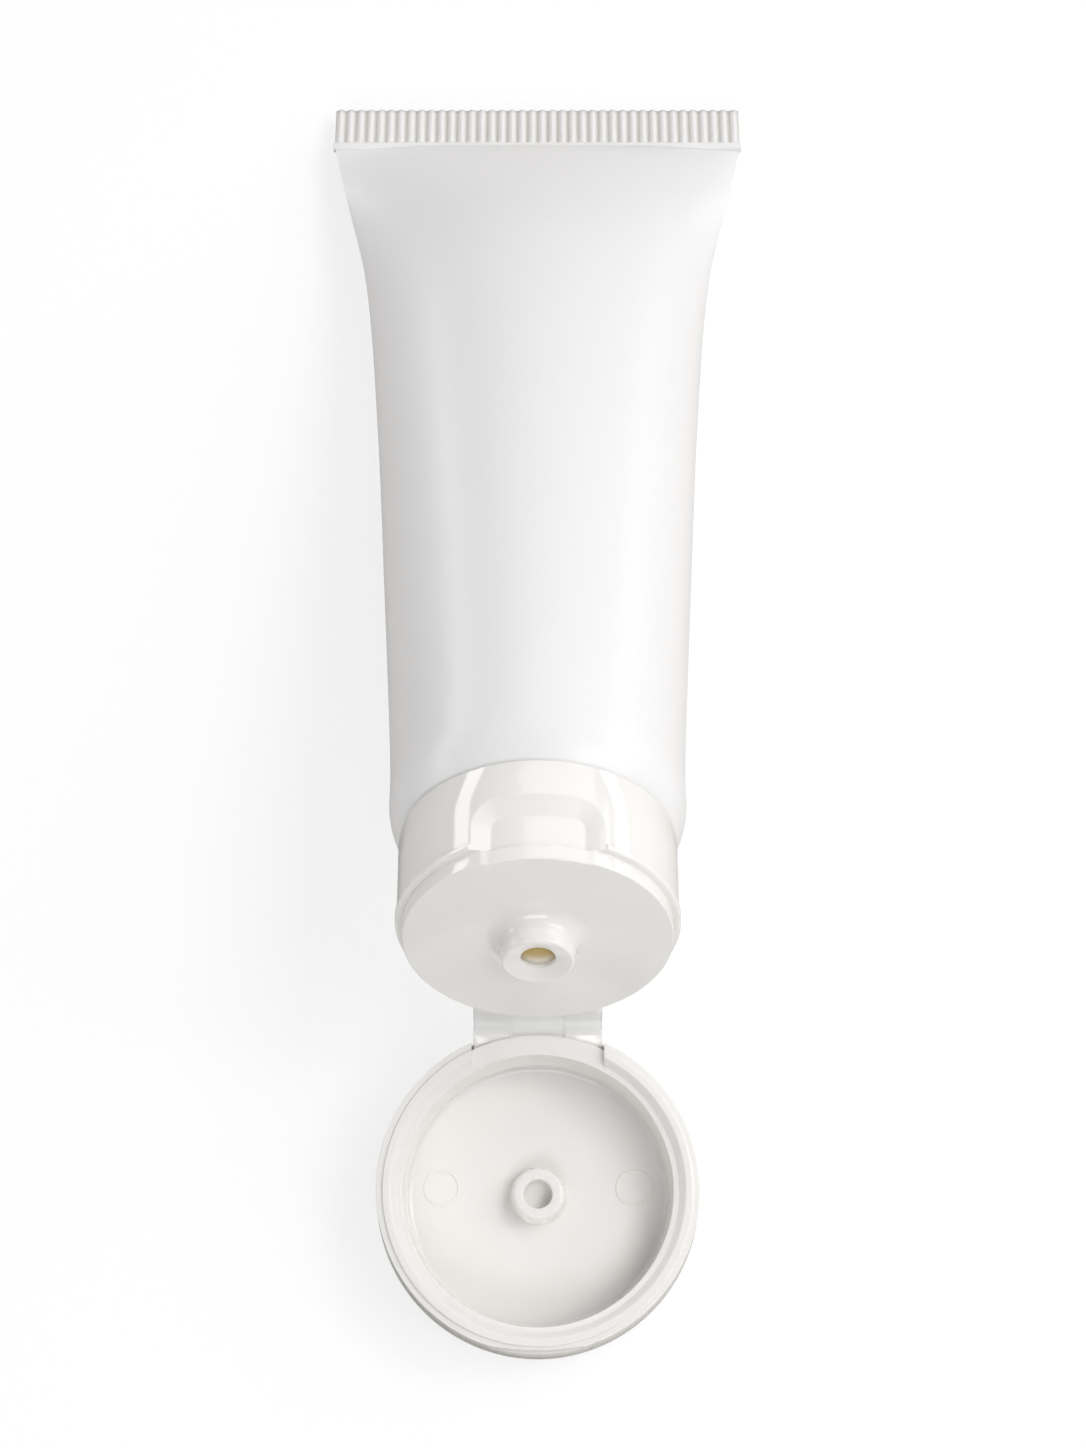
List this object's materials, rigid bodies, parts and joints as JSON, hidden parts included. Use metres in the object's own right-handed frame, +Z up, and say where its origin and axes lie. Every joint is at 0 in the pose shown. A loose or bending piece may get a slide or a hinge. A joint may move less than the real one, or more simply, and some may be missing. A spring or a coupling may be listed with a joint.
{
  "type": "cosmetic tube",
  "caption": "Soft plastic squeeze tube with a crimped flat end and a hinged flip-top cap, lying on its back with the lid swung open and the dispensing nozzle showing.",
  "frame": {"origin": "on the surface that the tube lies on, below the middle of its overall length and width", "axes": "+Z up; +Y along the tube from the open cap to the flat seal; +X to the right seen from the cap's side, along the hinge. The tube's own axis slopes down by 14 degrees towards the seal"},
  "size_m": [0.0554, 0.1764, 0.0521],
  "materials": {
    "tube_film": "satin",
    "shoulder_plastic": "satin",
    "cream": "smooth",
    "cap_plastic": "gloss"
  },
  "bodies": {
    "tube": {"tube_sleeve": "tube_film", "tube_shoulder": "shoulder_plastic", "cream_fill": "cream", "cap_base": "cap_plastic"},
    "lid": {"flip_lid": "cap_plastic"}
  },
  "joints": [
    {"name": "lid_hinge", "type": "hinge", "parent": "tube", "child": "lid", "pos_m": [0, -0.05051, 0.01764], "axis": [1, 0, 0], "range_deg": [-117, 63]}
  ]
}
